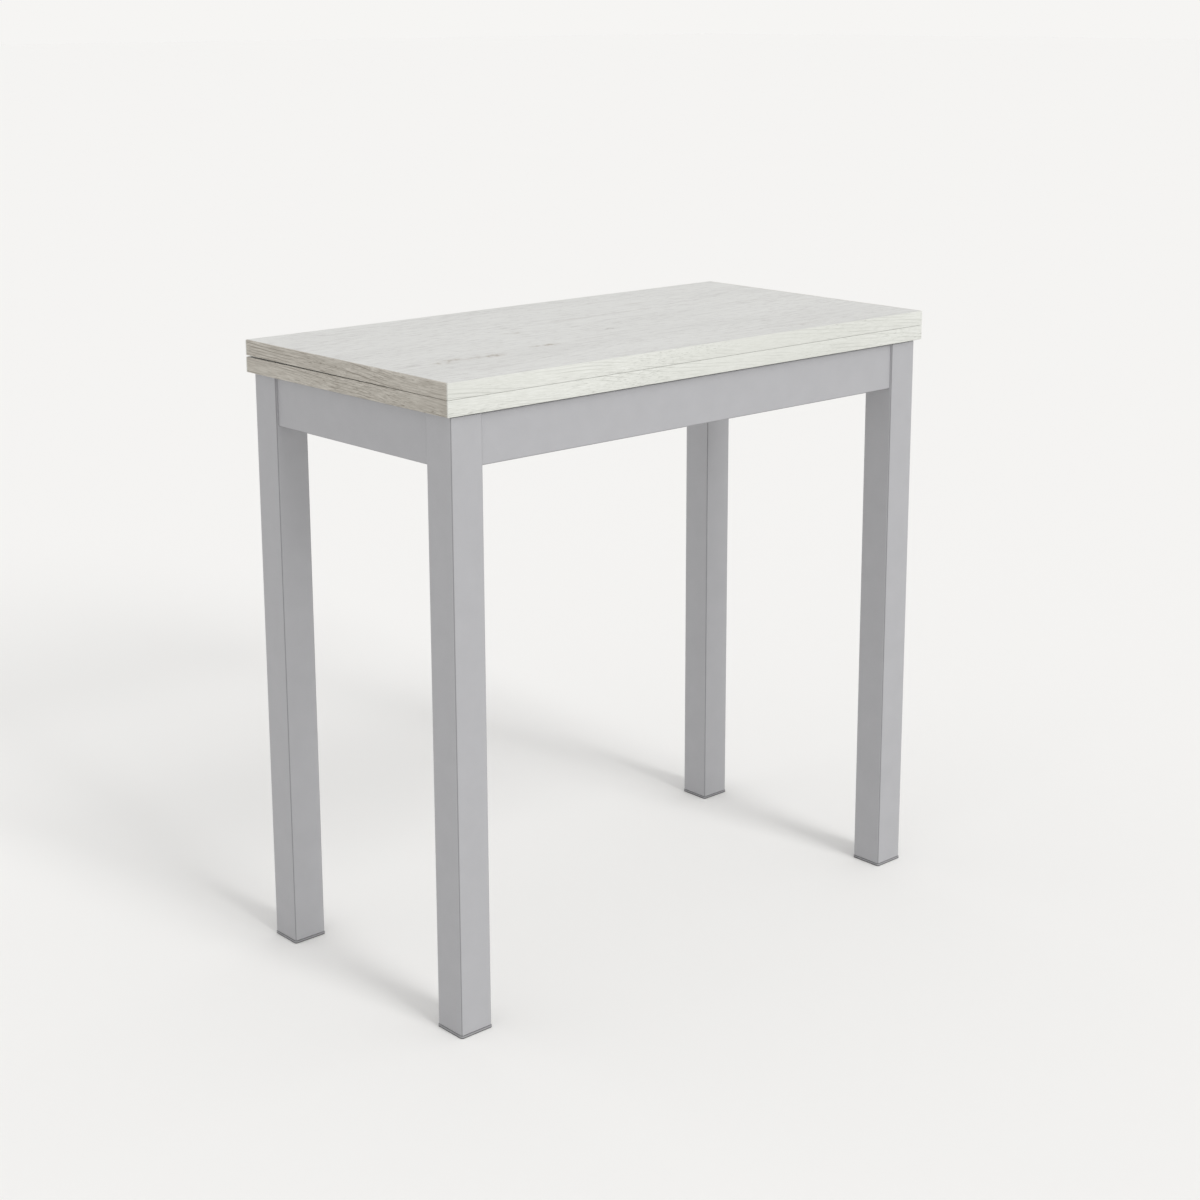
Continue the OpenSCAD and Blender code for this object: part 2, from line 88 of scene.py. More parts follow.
def add_node(tree, kind, values=None, **settings):
    """Adds a node. A value that is a socket is linked, and any other is typed in, a colour as opaque."""
    made = tree.nodes.new(kind)
    for name, setting in settings.items():
        setattr(made, name, setting)
    for name, value in (values or {}).items():
        socket = made.inputs[name]
        if isinstance(value, bpy.types.NodeSocket):
            tree.links.new(value, socket)
        else:
            socket.default_value = (*value, 1.0) if socket.type == "RGBA" else value
    return made


def maths(tree, operation, *values):
    """The result of a Math node on numbers or sockets."""
    return add_node(tree, "ShaderNodeMath", dict(enumerate(values)), operation=operation).outputs[0]


def times(tree, first, second):
    """The product of two numbers or sockets."""
    return maths(tree, "MULTIPLY", first, second)


def vector_maths(tree, operation, *values, output="Vector"):
    """The result of a Vector Math node on vectors or sockets."""
    made = add_node(tree, "ShaderNodeVectorMath", dict(enumerate(values)), operation=operation)
    return made.outputs[output]


def blend_colours(tree, share, first, second, mode="MIX"):
    """The second colour laid over the first by a share."""
    values = {0: share, 6: first, 7: second}
    made = add_node(tree, "ShaderNodeMix", values, data_type="RGBA", blend_type=mode)
    return made.outputs[2]


def spread(tree, value, low, high, to_low=0.0, to_high=1.0, smooth=True):
    """Maps a value from one range to another, with soft ends."""
    made = add_node(
        tree, "ShaderNodeMapRange", {0: value, 1: low, 2: high, 3: to_low, 4: to_high},
        interpolation_type="SMOOTHSTEP" if smooth else "LINEAR",
    )
    return made.outputs[0]


def noise(tree, vector, scale, detail=2.0, roughness=0.5):
    """A Noise Texture's grey value."""
    values = {"Vector": vector, "Scale": scale, "Detail": detail, "Roughness": roughness}
    return add_node(tree, "ShaderNodeTexNoise", values).outputs[0]


def grain_noise(tree, place, along, across, detail=2.0, roughness=0.5):
    """Noise drawn out along X. along and across say how often it varies in a metre."""
    scale = add_node(tree, "ShaderNodeCombineXYZ", {"X": along, "Y": across, "Z": across})
    return noise(tree, vector_maths(tree, "MULTIPLY", place, scale.outputs[0]), 1.0, detail, roughness)


def axes_of(tree, vector):
    """The X, Y and Z of a vector."""
    return add_node(tree, "ShaderNodeSeparateXYZ", {0: vector}).outputs


def new_group(name, inputs, masks):
    """A shader node group. Gives its tree, and the sockets that it reads and that it fills.

    inputs holds each input's number, or None where it is a vector, and each mask runs from 0 to 1."""
    tree = bpy.data.node_groups.new(name, "ShaderNodeTree")
    for label, value in inputs.items():
        kind = "NodeSocketVector" if value is None else "NodeSocketFloat"
        socket = tree.interface.new_socket(name=label, in_out="INPUT", socket_type=kind)
        if value is not None:
            socket.default_value = value
    for label in masks:
        tree.interface.new_socket(name=label, in_out="OUTPUT", socket_type="NodeSocketFloat")
    return tree, tree.nodes.new("NodeGroupInput").outputs, tree.nodes.new("NodeGroupOutput").inputs


def wood_grain_group():
    """Oak grain along X: fibres, pores, figure, patches, warm streaks and flecks, each from 0 to 1."""
    tree, given, out = new_group(
        "Oak Grain",
        {
            "Vector": None, "Fibre Width": 1.6 * MM, "Figure Width": 14 * MM, "Waviness": 9 * MM,
            "Slant": 0.0, "Pore Length": 25 * MM, "Pore Width": 1.7 * MM,
        },
        ("Fibre", "Pores", "Figure", "Patches", "Streaks", "Flecks"),
    )
    place = given["Vector"]
    wander = maths(tree, "SUBTRACT", grain_noise(tree, place, along=3.2, across=11, detail=1), 0.5)
    lean = times(tree, axes_of(tree, place)["X"], given["Slant"])
    shift = maths(tree, "MULTIPLY_ADD", wander, given["Waviness"], lean)
    shift_down = times(tree, shift, 0.6)
    sideways = add_node(tree, "ShaderNodeCombineXYZ", {"Y": shift, "Z": shift_down})
    waved = vector_maths(tree, "ADD", place, sideways.outputs[0])

    widths_in_a_length = 28.0
    across = maths(tree, "DIVIDE", 1.0, given["Fibre Width"])
    along = maths(tree, "DIVIDE", across, widths_in_a_length)
    tree.links.new(grain_noise(tree, waved, along, across, detail=3, roughness=0.62), out["Fibre"])

    across = maths(tree, "DIVIDE", 1.0, given["Pore Width"])
    along = maths(tree, "DIVIDE", 1.0, given["Pore Length"])
    pores = spread(tree, grain_noise(tree, waved, along, across, roughness=0.6), 0.54, 0.70)
    zones = spread(tree, grain_noise(tree, waved, along=6, across=34), 0.34, 0.60, 0.15, 1.0)
    tree.links.new(times(tree, pores, zones), out["Pores"])

    lines_in_a_bow = 9.0
    bow = times(tree, grain_noise(tree, place, along=1.4, across=5.5), lines_in_a_bow)
    axes = axes_of(tree, waved)
    level = maths(tree, "ADD", axes["Y"], axes["Z"])
    phase = maths(tree, "ADD", maths(tree, "DIVIDE", level, given["Figure Width"]), bow)
    wave = maths(tree, "SINE", times(tree, phase, math.tau))
    lines = spread(tree, wave, 0.55, 1.0)
    unbroken = spread(tree, grain_noise(tree, waved, along=9, across=90), 0.40, 0.66)
    tree.links.new(times(tree, lines, unbroken), out["Figure"])

    patches = grain_noise(tree, waved, along=2.2, across=13, roughness=0.55)
    tree.links.new(patches, out["Patches"])
    streaks = grain_noise(tree, waved, along=5.5, across=62, roughness=0.55)
    tree.links.new(spread(tree, streaks, 0.66, 0.80), out["Streaks"])
    flecks = grain_noise(tree, waved, along=62, across=175, detail=3, roughness=0.65)
    tree.links.new(spread(tree, flecks, 0.50, 0.72), out["Flecks"])
    return tree


def grain_mark_group():
    """One knot or dark streak in a board's face, a soft spindle along X round a centre."""
    tree, given, out = new_group(
        "Grain Mark",
        {
            "Vector": None, "Centre": None, "Half Length": 30 * MM, "Half Width": 4 * MM,
            "Slant": 0.0, "Breakup": 0.85,
        },
        ("Mark",),
    )
    place = given["Vector"]
    axes = axes_of(tree, vector_maths(tree, "SUBTRACT", place, given["Centre"]))
    lean = times(tree, axes["X"], given["Slant"])
    straight = maths(tree, "SUBTRACT", axes["Y"], lean)
    flat = add_node(
        tree, "ShaderNodeCombineXYZ",
        {
            "X": maths(tree, "DIVIDE", axes["X"], given["Half Length"]),
            "Y": maths(tree, "DIVIDE", straight, given["Half Width"]),
        },
    )
    distance = vector_maths(tree, "LENGTH", flat.outputs[0], output="Value")
    ragged = grain_noise(tree, place, along=60, across=90, detail=3, roughness=0.6)
    push = times(tree, maths(tree, "SUBTRACT", 0.5, ragged), 1.5)
    spindle = spread(tree, maths(tree, "ADD", distance, push), 1.0, 0.0)
    torn = grain_noise(tree, place, along=120, across=130, detail=3, roughness=0.7)
    loss = maths(tree, "SUBTRACT", spread(tree, torn, 0.46, 0.62), 1.0)
    kept = maths(tree, "ADD", 1.0, times(tree, loss, given["Breakup"]))
    tree.links.new(times(tree, spindle, kept), out["Mark"])
    return tree


def rounded_edge_group():
    """1 where a surface turns round a corner, and 0 on its flat faces, from the normal on the piece."""
    tree, given, out = new_group(
        "Rounded Edge", {"Normal": None, "Start": 0.02, "Full": 0.2}, ("Edge",)
    )
    facing = axes_of(tree, vector_maths(tree, "ABSOLUTE", given["Normal"]))
    largest = maths(tree, "MAXIMUM", facing["X"], facing["Y"])
    largest = maths(tree, "MAXIMUM", largest, facing["Z"])
    turn = maths(tree, "SUBTRACT", 1.0, largest)
    tree.links.new(spread(tree, turn, given["Start"], given["Full"]), out["Edge"])
    return tree


def satin_surface_group():
    """Fine speckle, broad mottling and orange peel of a coated or moulded surface, each from 0 to 1."""
    tree, given, out = new_group(
        "Satin Surface",
        {
            "Vector": None, "Speckle Size": 0.7 * MM, "Peel Size": 2.4 * MM, "Mottle Size": 55 * MM,
        },
        ("Speckle", "Peel", "Mottle"),
    )
    for label, detail in (("Speckle", 1.0), ("Peel", 1.0), ("Mottle", 3.0)):
        fineness = maths(tree, "DIVIDE", 1.0, given[label + " Size"])
        tree.links.new(noise(tree, given["Vector"], fineness, detail), out[label])
    return tree


NODE_GROUP_MAKERS = {
    "grain": wood_grain_group, "mark": grain_mark_group, "edge": rounded_edge_group,
    "satin": satin_surface_group,
}
NODE_GROUPS = {}


def use_group(tree, name, values):
    """Places a shared group, made on its first use, with its own values, and gives its outputs."""
    if name not in NODE_GROUPS:
        NODE_GROUPS[name] = NODE_GROUP_MAKERS[name]()
    return add_node(tree, "ShaderNodeGroup", values, node_tree=NODE_GROUPS[name]).outputs


class Finish:
    """A material under construction: its tree, its shader and the coordinates that patterns read."""

    def __init__(self, name):
        self.material = bpy.data.materials.new(name)
        self.material.use_nodes = True
        self.tree = self.material.node_tree
        self.shader = next(n for n in self.tree.nodes if n.type == "BSDF_PRINCIPLED")
        coordinates = self.tree.nodes.new("ShaderNodeTexCoord")
        self.place = coordinates.outputs["Object"]
        self.normal = coordinates.outputs["Normal"]

    def surface(self, **sizes):
        """The masks of a satin surface. sizes are those of its patterns, in millimetres."""
        values = {pattern.title() + " Size": size * MM for pattern, size in sizes.items()}
        return use_group(self.tree, "satin", {"Vector": self.place, **values})

    def edge(self, start=0.02, full=0.2):
        """The mask of rounded edges, 0 where the surface turns by less than start and 1 from full on."""
        values = {"Normal": self.normal, "Start": start, "Full": full}
        return use_group(self.tree, "edge", values)["Edge"]

    def feed(self, socket, value):
        """Links a value that changes over the surface to the shader."""
        self.tree.links.new(value, self.shader.inputs[socket])

    def fix(self, **values):
        """Types numbers that are the same all over the surface into the shader."""
        for name, value in values.items():
            self.shader.inputs[name.replace("_", " ")].default_value = value

    def relief(self, height, distance, strength):
        """Raises and sinks the surface by a distance times a height that changes over it."""
        bump = add_node(
            self.tree, "ShaderNodeBump", {"Strength": strength, "Distance": distance, "Height": height}
        )
        self.feed("Normal", bump.outputs[0])

    def swing(self, middle, amount, value):
        """A number that moves by an amount about its middle as a mask goes from 0 to 1."""
        centred = maths(self.tree, "SUBTRACT", value, 0.5)
        return maths(self.tree, "MULTIPLY_ADD", centred, amount, middle)

    def tint(self, colour, factor):
        """A colour made lighter or darker by a factor."""
        grey = add_node(self.tree, "ShaderNodeCombineColor", {0: factor, 1: factor, 2: factor})
        return blend_colours(self.tree, 1.0, colour, grey.outputs[0], "MULTIPLY")


def silver_paint(finish, colours):
    """Satin silver powder coat, with painted shade that darkens it over the rounded tube corners."""
    surface = finish.surface(speckle=1.0, mottle=26)
    factor = finish.swing(1.0, 0.10, surface["Speckle"])
    factor = finish.swing(factor, 0.09, surface["Mottle"])
    # Painted shade: darker over the rounded tube corners.
    edge = finish.edge(start=0.05, full=0.24)
    kept = maths(finish.tree, "MULTIPLY_ADD", edge, -colours.painted_edge_shade, 1.0)
    finish.feed("Base Color", finish.tint(colours.paint, times(finish.tree, factor, kept)))
    finish.feed("Roughness", finish.swing(0.44, 0.10, surface["Speckle"]))
    finish.relief(surface["Peel"], 0.06 * MM, 0.35)
    finish.fix(Metallic=0.12)


def moulded_plastic(finish, colour, roughness, painted_floor_shade=0.0):
    """Moulded plastic with a fine matt texture, a painted highlight on its rounded edges and, where
    painted_floor_shade is given, painted shade on its lowest millimetres where it stands on the floor.
    """
    tree = finish.tree
    surface = finish.surface(speckle=0.5, peel=0.9)
    factor = finish.swing(1.0, 0.10, surface["Speckle"])
    factor = finish.swing(factor, 0.08, surface["Mottle"])
    # Painted highlight: lighter on the rounded edges.
    factor = maths(tree, "MULTIPLY_ADD", finish.edge(), 0.06, factor)
    # Painted shade: the colour darkens towards the floor over the lowest two millimetres.
    if painted_floor_shade:
        shaded_below, unshaded_above = 0.9 * MM, 1.9 * MM
        height = axes_of(tree, finish.place)["Z"]
        floor_shade = spread(tree, height, shaded_below, unshaded_above, 1.0 - painted_floor_shade, 1.0)
        factor = times(tree, factor, floor_shade)
    finish.feed("Base Color", finish.tint(colour, factor))
    finish.feed("Roughness", finish.swing(roughness, 0.12, surface["Speckle"]))
    finish.relief(surface["Peel"], 0.05 * MM, 0.4)


def zinc_steel(finish, colour, brushed):
    """Zinc-plated steel, with drawing lines along X on a brushed piece, and a painted highlight that
    makes it brighter on its edges.
    """
    tree = finish.tree
    surface = finish.surface(speckle=0.9, mottle=9)
    lines = grain_noise(tree, finish.place, along=90, across=3200)
    factor = finish.swing(1.0, 0.16 if brushed else 0.05, lines)
    factor = finish.swing(factor, 0.14, surface["Mottle"])
    # Painted highlight: brighter on the rounded edges.
    factor = maths(tree, "MULTIPLY_ADD", finish.edge(), 0.12, factor)
    tinted = finish.tint(colour, factor)
    yellowed = tuple(part * share for part, share in zip(colour, (1.04, 1.0, 0.90)))
    yellowing = spread(tree, surface["Mottle"], 0.45, 0.75, 0.0, 0.5)
    finish.feed("Base Color", blend_colours(tree, yellowing, tinted, yellowed))
    finish.feed("Roughness", finish.swing(0.34, 0.22, lines if brushed else surface["Speckle"]))
    finish.relief(lines if brushed else surface["Peel"], 0.02 * MM, 0.3)
    finish.fix(Metallic=1.0)


def laminate(finish, colours, middle, sag, marks):
    """Pale oak laminate on a board's two faces, and chipboard between them where the board is cut.

    middle is a point on the board's middle plane, and sag is how far that plane is turned about X.
    marks are the knots and streaks of its upper face, as MARKS lists them."""
    tree = finish.tree
    grain = use_group(tree, "grain", {"Vector": finish.place})
    fibres = times(tree, spread(tree, grain["Fibre"], 0.30, 0.72), 0.55)
    patches = times(tree, spread(tree, grain["Patches"], 0.30, 0.75), 0.45)
    shade = maths(tree, "ADD", fibres, patches)
    face = blend_colours(tree, shade, colours.laminate_light, colours.laminate_shade)
    for mask, strength, tone in (
        ("Figure", 0.30, colours.laminate_line),
        ("Pores", 0.70, colours.laminate_pore),
        ("Streaks", 0.25, colours.laminate_warm),
        ("Flecks", 0.30, colours.laminate_pore),
    ):
        face = blend_colours(tree, times(tree, grain[mask], strength), face, tone)
    offset = vector_maths(tree, "SUBTRACT", finish.place, middle)
    turned = add_node(tree, "ShaderNodeMapping", {"Vector": offset, "Rotation": (-sag, 0, 0)})
    depth = axes_of(tree, turned.outputs[0])["Z"]
    upper_side = spread(tree, depth, 0.0, 1 * MM)
    for x, y, half_length, half_width, slant, strength, warm in marks:
        mark = use_group(
            tree, "mark",
            {
                "Vector": finish.place, "Centre": (x * MM, y * MM, 0), "Slant": slant,
                "Half Length": half_length * MM, "Half Width": half_width * MM,
            },
        )["Mark"]
        tone = colours.laminate_warm if warm else colours.laminate_pore
        share = times(tree, times(tree, mark, strength), upper_side)
        face = blend_colours(tree, share, face, tone)

    half = BOARD_THICKNESS / 2 - LAMINATE_SKIN
    from_middle = maths(tree, "ABSOLUTE", depth)
    inside = spread(tree, from_middle, half, half + 0.05 * MM, 1.0, 0.0, smooth=False)
    chips_in_a_metre = 520.0
    chips = add_node(tree, "ShaderNodeTexVoronoi", {"Vector": finish.place, "Scale": chips_in_a_metre})
    split = add_node(tree, "ShaderNodeSeparateColor", {0: chips.outputs["Color"]})
    chip = spread(tree, split.outputs[0], 0.0, 1.0)
    core = blend_colours(tree, chip, colours.core_dark, colours.core_light)
    finish.feed("Base Color", blend_colours(tree, inside, face, core))
    sheen = maths(tree, "MULTIPLY_ADD", grain["Fibre"], 0.10, 0.46)
    finish.feed("Roughness", maths(tree, "MAXIMUM", sheen, times(tree, inside, 0.85)))
    ridges = maths(tree, "SUBTRACT", times(tree, grain["Fibre"], 0.6), grain["Pores"])
    pits = times(tree, times(tree, chip, inside), 3.0)
    finish.relief(maths(tree, "SUBTRACT", ridges, pits), 0.05 * MM, 0.35)
    finish.fix(Specular_IOR_Level=0.35)


def edging(finish, base, shade, line, across, slant, contrast, figure):
    """A wood-look edging strip with its grain along the strip, and a painted highlight on its rounded
    arrises. across is for a strip along Y.
    """
    tree = finish.tree
    place = finish.place
    if across:
        turned = add_node(tree, "ShaderNodeMapping", {"Vector": place, "Rotation": (0, 0, math.pi / 2)})
        place = turned.outputs[0]
    grain = use_group(
        tree, "grain",
        {
            "Vector": place, "Fibre Width": 1.1 * MM, "Figure Width": 4.4 * MM, "Waviness": 18 * MM,
            "Slant": slant, "Pore Length": 14 * MM, "Pore Width": 0.8 * MM,
        },
    )
    fibres = times(tree, spread(tree, grain["Fibre"], 0.30, 0.70), contrast)
    face = blend_colours(tree, fibres, base, shade)
    patches = times(tree, spread(tree, grain["Patches"], 0.35, 0.75), contrast * 0.8)
    for share, tone in (
        (patches, shade),
        (times(tree, grain["Figure"], figure), line),
        (times(tree, grain["Pores"], contrast * 0.9), line),
        # Painted highlight: the rounded arrises are drawn lighter, towards the body colour.
        (times(tree, finish.edge(full=0.25), 0.35), base),
    ):
        face = blend_colours(tree, share, face, tone)
    finish.feed("Base Color", face)
    finish.feed("Roughness", maths(tree, "MULTIPLY_ADD", grain["Fibre"], 0.12, 0.44))
    height = maths(tree, "SUBTRACT", times(tree, grain["Fibre"], 0.5), grain["Figure"])
    finish.relief(height, 0.05 * MM, 0.3)
    finish.fix(Specular_IOR_Level=0.35)


# Mesh making


def block(low, high, target=None):
    """A box between two corners, in a new or a given mesh."""
    bm = target or bmesh.new()
    made = bmesh.ops.create_cube(bm, size=1)["verts"]
    bmesh.ops.scale(bm, vec=Vector(high) - Vector(low), verts=made)
    bmesh.ops.translate(bm, vec=(Vector(high) + Vector(low)) / 2, verts=made)
    return bm


def round_edges(bm, edges, radius, segments=3):
    """Rounds edges, or chamfers them where it is given one segment."""
    bmesh.ops.bevel(
        bm, geom=edges, offset=radius, offset_type="OFFSET", affect="EDGES",
        segments=segments, profile=0.5, material=-1, clamp_overlap=True,
    )


def cut_away(bm, point, direction):
    """Cuts the mesh by a plane, drops what lies beyond it in a direction and closes the cut."""
    everything = bm.verts[:] + bm.edges[:] + bm.faces[:]
    cut = bmesh.ops.bisect_plane(
        bm, geom=everything, dist=TINY, plane_co=point, plane_no=direction, clear_outer=True
    )
    rim = [part for part in cut["geom_cut"] if isinstance(part, bmesh.types.BMEdge)]
    return bmesh.ops.holes_fill(bm, edges=rim, sides=0)["faces"]


def direction_of(edge):
    """The unit vector along an edge."""
    return (edge.verts[1].co - edge.verts[0].co).normalized()


def outline(bm, profile, closed):
    """Edges through (radius, height) points in the XZ plane."""
    points = [bm.verts.new((radius, 0, height)) for radius, height in profile]
    pairs = list(zip(points, points[1:])) + ([(points[-1], points[0])] if closed else [])
    return points, [bm.edges.new(pair) for pair in pairs]


def lathe(profile, steps=48, closed=True):
    """A mesh of an outline turned about Z. An open outline starts and ends on the axis."""
    bm = bmesh.new()
    points, edges = outline(bm, profile, closed)
    bmesh.ops.spin(
        bm, geom=points + edges, cent=(0, 0, 0), axis=UP, angle=math.tau, steps=steps, use_merge=True
    )
    bmesh.ops.remove_doubles(bm, verts=bm.verts[:], dist=TINY)
    return bm


def wind(profile, steps, turn, rise, start=0.0):
    """A mesh of a closed outline wound up about Z in steps of a turn and a rise, from a start angle."""
    bm = bmesh.new()
    points, edges = outline(bm, profile, closed=True)
    facing = Matrix.Rotation(start, 3, "Z")
    bmesh.ops.rotate(bm, verts=points, cent=(0, 0, 0), matrix=facing)
    bmesh.ops.spin(
        bm, geom=points + edges, cent=(0, 0, 0), axis=UP, steps=steps, angle=turn * steps, dvec=UP * rise
    )
    bmesh.ops.holes_fill(bm, edges=[e for e in bm.edges if e.is_boundary], sides=0)
    return bm


def mesh_of(bm, name, place=None):
    """Turns a working mesh into mesh data at its place, with its faces outwards, and frees it."""
    if place is not None:
        bmesh.ops.transform(bm, matrix=place, verts=bm.verts[:])
    bmesh.ops.recalc_face_normals(bm, faces=bm.faces[:])
    mesh = bpy.data.meshes.new(name)
    bm.to_mesh(mesh)
    bm.free()
    return mesh


def add_part(bm, part, place=None):
    """Adds one mesh to another and frees it."""
    mesh = mesh_of(part, "part", place)
    bm.from_mesh(mesh)
    bpy.data.meshes.remove(mesh)


def add_object(name, data):
    """A new object in the scene."""
    made = bpy.data.objects.new(name, data)
    bpy.context.scene.collection.objects.link(made)
    return made


def finish_piece(name, bm, body, finish, replaced=(), place=None):
    """Turns a mesh into a piece of the table that rides on a body. Its slot has its finish's name."""
    mesh = mesh_of(bm, name, place)
    mesh.shade_smooth()
    mesh.set_sharp_from_angle(angle=math.radians(32))
    mesh.materials.append(material_of(finish))
    piece = add_object(name, mesh)
    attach(piece, body)
    if replaced:
        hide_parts(*replaced)
    return piece


def dress(finish, *nodes):
    """Gives solids that keep their shape their finish."""
    for node in nodes:
        frame["nodes"][node].material_slots[0].material = material_of(finish)


# Places taken from the frame, and what the boards' faces show


LEAF_LOW, LEAF_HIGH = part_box("lower_leaf")
BOARD_THICKNESS = LEAF_HIGH.z - LEAF_LOW.z
EDGING = LEAF_LOW.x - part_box("lower_left_edging")[0].x
EDGING_STEP = Vector((EDGING, EDGING, 0))
LOWER_LOW = LEAF_LOW - EDGING_STEP
LOWER_HIGH = LEAF_HIGH + EDGING_STEP
LOWER_PIN = Vector(JOINTS["link_fold"]["pos_m"])
UPPER_PIN = Vector(JOINTS["board_fold"]["pos_m"])
PIN_DEPTH = LOWER_HIGH.z - LOWER_PIN.z
UPPER_LOW = Vector((LOWER_LOW.x, LOWER_LOW.y, UPPER_PIN.z - PIN_DEPTH))
UPPER_HIGH = Vector((LOWER_HIGH.x, LOWER_HIGH.y, UPPER_LOW.z + BOARD_THICKNESS))

# The upper board is worked out level, and then leans about its pins, which closes the gap in front
SAG = math.radians(JOINTS["board_fold"]["range_deg"][1] - 90)
LEAN = Matrix.Translation(UPPER_PIN) @ Matrix.Rotation(SAG, 4, "X") @ Matrix.Translation(-UPPER_PIN)

# The laminate on each face of a board, above and below the chipboard
LAMINATE_SKIN = 0.8 * MM

# Each mark's centre x and y, half length and half width in millimetres, slant, strength and if it is warm
MARKS = (
    (-316, -90, 34, 16, 0.35, 0.75, True),
    (-285, -90, 62, 18, 0.12, 0.30, True),
    (-250, -93, 24, 14, 0.12, 0.95, True),
    (-152, -77, 32, 11, -0.12, 0.95, True),
    (-11, -35, 28, 7, 0.13, 1.0, False),
    (-128, 18, 28, 9, 0.0, 0.55, True),
    (-366, -86, 28, 7, -0.08, 0.80, False),
    (175, -168, 46, 6, -0.20, 0.80, False),
    (76, -158, 18, 7, -0.30, 0.70, False),
)


# Sizes and colours that the sidebar shows


def length(name, text, value):
    """A size in metres."""
    return FloatProperty(
        name=name, description=text, default=value, min=0.0, subtype="DISTANCE", unit="LENGTH"
    )


def angle(name, text, degrees):
    """A turn, typed here in degrees."""
    return FloatProperty(name=name, description=text, default=math.radians(degrees), subtype="ANGLE")


def brightness(name, text, value):
    """How strong a light is."""
    return FloatProperty(name=name, description=text, default=value, min=0.0)


def portion(name, text, value):
    """A part of the whole, from 0 to 1."""
    return FloatProperty(name=name, description=text, default=value, min=0.0, max=1.0)


def colour(name, text, value):
    """A colour in Blender's own linear values."""
    return FloatVectorProperty(
        name=name, description=text, default=value, min=0.0, max=1.0, size=3, subtype="COLOR"
    )


class TableSizes(bpy.types.PropertyGroup):
    """Sizes of the fine pieces."""

    edging_radius: length("Edging radius", "Rounding of the edging's outer corners", 0.6 * MM)
    joint_line: length("Joint line", "Tiny bevel where the edging meets the laminate", 0.12 * MM)
    groove_height: length("Foot groove height", "Height of the groove between leg and foot cap", 0.8 * MM)
    groove_depth: length("Foot groove depth", "Depth of the groove behind the leg's face", 1.3 * MM)
    foot_round: length("Foot rounding", "Rounding of the foot cap's upper rim", 0.35 * MM)
    foot_chamfer: length("Foot chamfer", "Rounding of the foot cap at the floor", 0.8 * MM)
    weld_radius: length("Weld radius", "Radius of the weld beads inside the frame", 2.4 * MM)
    weld_ripple: length("Weld ripple", "Distance from one ripple of a weld to the next", 2.5 * MM)
    thread_pitch: length("Thread pitch", "Pitch of the pivot bolt's thread", 1.5 * MM)
    thread_depth: length("Thread depth", "Depth of the pivot bolt's thread", 0.75 * MM)


class TableColours(bpy.types.PropertyGroup):
    """Colours of the finishes."""

    laminate_light: colour("Laminate light", "Lightest tone of the board faces", (0.692, 0.694, 0.676))
    laminate_shade: colour("Laminate shade", "Shaded tone of the board faces", (0.613, 0.612, 0.595))
    laminate_line: colour("Laminate line", "Grain lines of the board faces", (0.470, 0.462, 0.450))
    laminate_pore: colour("Laminate pores", "Open pores of the board faces", (0.400, 0.385, 0.372))
    laminate_warm: colour("Laminate streak", "Warm streaks of the board faces", (0.330, 0.285, 0.235))
    long_edging: colour("Long edging", "Body of the long edging", (0.700, 0.707, 0.671))
    long_shade: colour("Long edging shade", "Shaded grain of the long edging", (0.585, 0.592, 0.550))
    long_line: colour("Long edging line", "Grain lines of the long edging", (0.390, 0.396, 0.362))
    end_edging: colour("End edging", "Body of the end edging", (0.645, 0.615, 0.555))
    end_shade: colour("End edging shade", "Shaded grain of the end edging", (0.370, 0.343, 0.298))
    end_line: colour("End edging line", "Grain lines of the end edging", (0.185, 0.162, 0.130))
    paint: colour("Frame paint", "Silver paint of the frame", (0.397, 0.397, 0.411))
    # Painted shade: how much darker the paint is drawn over the tube corners.
    painted_edge_shade: portion("Edge loss", "How much darker the paint is over the tube corners", 0.42)
    foot_plastic: colour("Foot plastic", "Foot caps", (0.275, 0.275, 0.283))
    glide_plastic: colour("Glide plastic", "Glides in the leg tops", (0.030, 0.030, 0.032))
    bush_plastic: colour("Bush plastic", "Bushes and the nut's ring", (0.700, 0.690, 0.640))
    zinc: colour("Zinc", "Zinc-plated steel", (0.560, 0.570, 0.580))
    hinge_zinc: colour("Hinge steel", "Hinge plates and links", (0.600, 0.600, 0.600))
    core_light: colour("Core light", "Light chips of the board core", (0.480, 0.350, 0.215))
    core_dark: colour("Core dark", "Dark chips of the board core", (0.240, 0.160, 0.090))


class TableStage(bpy.types.PropertyGroup):
    """Floor, light and camera."""

    floor: colour("Floor", "Colour of the floor", (0.893, 0.885, 0.870))
    backdrop: colour("Backdrop", "What the camera sees beyond the floor", (0.921, 0.913, 0.897))
    ambient: brightness("Ambient", "Strength of the soft light all round", 0.92)
    zenith_loss: portion("Zenith loss", "How much weaker the soft light is from above", 0.24)
    left_gain: portion("Left gain", "How much stronger the soft light is from the left", 0.03)
    key: brightness("Key light", "Strength of the key light", 0.86)
    key_height: angle("Key height", "Height of the key light above the floor", 28)
    upper: brightness("Upper light", "Strength of the light above the key", 0.50)
    upper_height: angle("Upper height", "Height of the upper light above the floor", 49)
    lamp_width: angle("Lamp width", "Width of both lamps as seen from the table", 17)
    lamp_turn: angle("Lamp turn", "How far both lamps stand to the right of the front", 2)
    eye: FloatVectorProperty(
        name="Camera", description="Where the camera stands", default=(-1.7617, -1.95651, 1.17779),
        subtype="TRANSLATION", unit="LENGTH",
    )
    turn: FloatVectorProperty(
        name="Camera turn", description="How the camera is turned",
        default=[math.radians(degrees) for degrees in (77.4486, 0.1683, -42.0643)], subtype="EULER",
    )
    lens: FloatProperty(
        name="Lens", description="Focal length of the camera", default=62.475, unit="CAMERA"
    )
    shift: FloatProperty(name="Shift", description="Vertical shift of the camera", default=-0.11)


# Finishes by name


MATERIALS = {}


